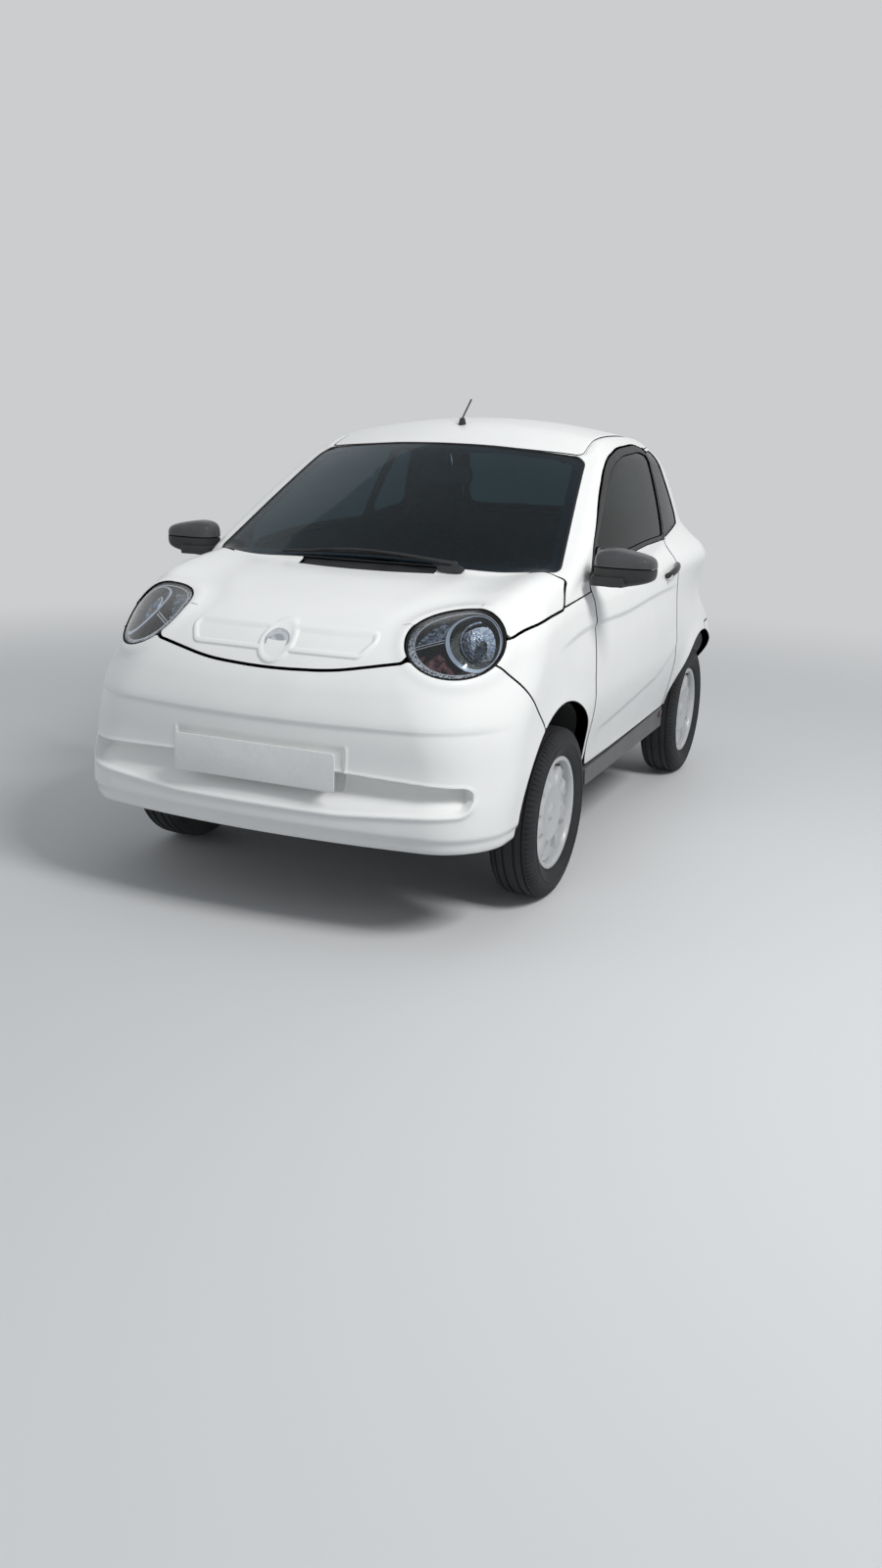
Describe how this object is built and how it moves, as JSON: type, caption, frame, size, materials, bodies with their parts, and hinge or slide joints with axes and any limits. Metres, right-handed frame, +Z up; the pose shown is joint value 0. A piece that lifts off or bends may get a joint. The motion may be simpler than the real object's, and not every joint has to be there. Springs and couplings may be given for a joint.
{
  "type": "two-door microcar",
  "caption": "Small white two-door hatchback microcar with opening doors, bonnet and tailgate, steered front wheels and an open cabin with seats.",
  "frame": {"origin": "on the ground under the middle of the car", "axes": "nose towards -Y, the car's left side towards +X, +Z up"},
  "size_m": [1.761, 2.7499, 1.5022],
  "materials": {
    "body_paint": "satin white paint on plastic panels",
    "glass": "tinted safety glass",
    "black_trim": "grained black plastic",
    "mirror_grey": "dark grey plastic",
    "lamp_clear": "clear lamp lens",
    "lamp_red": "red lamp lens",
    "plate_white": "white painted blank plate",
    "frame_metal": "black coated frame metal",
    "engine_metal": "cast engine block",
    "exhaust_metal": "steel exhaust",
    "dash_plastic": "grained dark grey plastic",
    "seat_fabric": "dark woven seat cover",
    "tyre": "black rubber",
    "wheel_silver": "silver painted wheel"
  },
  "bodies": {
    "chassis": {"antenna": "black_trim", "cabin_mirror": "black_trim", "chassis_frame": "frame_metal", "cowl": "black_trim", "dashboard": "dash_plastic", "engine_block": "engine_metal", "exhaust": "exhaust_metal", "front_bumper": "body_paint", "front_suspension": "frame_metal", "front_wings": "body_paint", "headlamps": "lamp_clear", "number_plates": "plate_white", "quarter_glasses": "glass", "rear_bumper": "body_paint", "rear_quarters": "body_paint", "rear_suspension": "frame_metal", "roof_panel": "body_paint", "seat_bases": "frame_metal", "seats": "seat_fabric", "side_rails": "body_paint", "sill_trims": "black_trim", "tail_lamps": "lamp_red", "wheel_liners": "black_trim", "windscreen": "glass", "wiper": "black_trim"},
    "steering_wheel": {"steering_wheel": "dash_plastic"},
    "bonnet": {"bonnet": "body_paint"},
    "tailgate": {"tailgate": "body_paint", "rear_glass": "glass"},
    "knuckle_left": {"knuckle_left": "frame_metal"},
    "door_left": {"door_left": "body_paint", "door_frame_left": "black_trim", "door_glass_left": "glass", "door_handle_left": "black_trim", "mirror_left": "mirror_grey"},
    "knuckle_right": {"knuckle_right": "frame_metal"},
    "door_right": {"door_right": "body_paint", "door_frame_right": "black_trim", "door_glass_right": "glass", "door_handle_right": "black_trim", "mirror_right": "mirror_grey"},
    "wheel_front_left": {"tyre_front_left": "tyre", "rim_front_left": "wheel_silver"},
    "wheel_front_right": {"tyre_front_right": "tyre", "rim_front_right": "wheel_silver"},
    "wheel_rear_left": {"tyre_rear_left": "tyre", "rim_rear_left": "wheel_silver"},
    "wheel_rear_right": {"tyre_rear_right": "tyre", "rim_rear_right": "wheel_silver"}
  },
  "joints": [
    {"name": "steer_left", "type": "hinge", "parent": "chassis", "child": "knuckle_left", "pos_m": [0.532, -0.727, 0.2666], "axis": [0, 0, 1], "range_deg": [-30, 30]},
    {"name": "steer_right", "type": "hinge", "parent": "chassis", "child": "knuckle_right", "pos_m": [-0.532, -0.727, 0.2666], "axis": [0, 0, 1], "range_deg": [-30, 30]},
    {"name": "steering_wheel_turn", "type": "hinge", "parent": "chassis", "child": "steering_wheel", "pos_m": [0.3, -0.11, 0.8], "axis": [0, 0.8829, 0.4695], "range_deg": [-420, 420]},
    {"name": "bonnet_hinge", "type": "hinge", "parent": "chassis", "child": "bonnet", "pos_m": [0, -0.594, 0.992], "axis": [-1, 0, 0], "range_deg": [0, 50]},
    {"name": "tailgate_hinge", "type": "hinge", "parent": "chassis", "child": "tailgate", "pos_m": [0, 0.96, 1.385], "axis": [1, 0, 0], "range_deg": [0, 75]},
    {"name": "door_left_hinge", "type": "hinge", "parent": "chassis", "child": "door_left", "pos_m": [0.7045, -0.49, 0.7], "axis": [0, 0, -1], "range_deg": [0, 62]},
    {"name": "door_right_hinge", "type": "hinge", "parent": "chassis", "child": "door_right", "pos_m": [-0.7045, -0.49, 0.7], "axis": [0, 0, 1], "range_deg": [0, 62]},
    {"name": "wheel_spin_front_left", "type": "hinge", "parent": "knuckle_left", "child": "wheel_front_left", "pos_m": [0.632, -0.727, 0.2666], "axis": [1, 0, 0], "continuous": true},
    {"name": "wheel_spin_front_right", "type": "hinge", "parent": "knuckle_right", "child": "wheel_front_right", "pos_m": [-0.632, -0.727, 0.2666], "axis": [1, 0, 0], "continuous": true},
    {"name": "wheel_spin_rear_left", "type": "hinge", "parent": "chassis", "child": "wheel_rear_left", "pos_m": [0.632, 0.993, 0.2666], "axis": [1, 0, 0], "continuous": true},
    {"name": "wheel_spin_rear_right", "type": "hinge", "parent": "chassis", "child": "wheel_rear_right", "pos_m": [-0.632, 0.993, 0.2666], "axis": [1, 0, 0], "continuous": true}
  ],
  "couplings": [
    {"joint": "steer_right", "follows": "steer_left", "ratio": 1},
    {"joint": "steering_wheel_turn", "follows": "steer_left", "ratio": 14}
  ]
}
